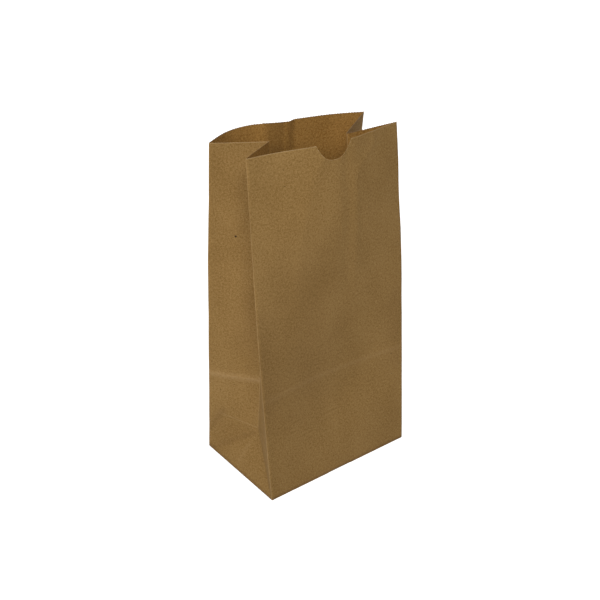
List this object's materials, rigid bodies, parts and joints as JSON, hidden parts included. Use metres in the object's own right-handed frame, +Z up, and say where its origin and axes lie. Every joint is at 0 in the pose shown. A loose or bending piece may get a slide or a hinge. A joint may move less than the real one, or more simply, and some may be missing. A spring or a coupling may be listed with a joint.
{
  "type": "paper lunch bag",
  "caption": "Brown kraft paper lunch bag standing open, with tucked side gussets, a thumb notch in the front rim and a folded block bottom.",
  "frame": {"origin": "centre of the base, on the surface the bag stands on", "axes": "+Z up along the bag's height, front panel with the thumb notch facing -Y, +X to the right when looking at the front"},
  "size_m": [0.1365, 0.0875, 0.2768],
  "materials": {
    "kraft_paper": "matte unbleached brown kraft paper with fine fibres and specks"
  },
  "bodies": {
    "root": {"paper_bag": "kraft_paper"}
  },
  "joints": []
}
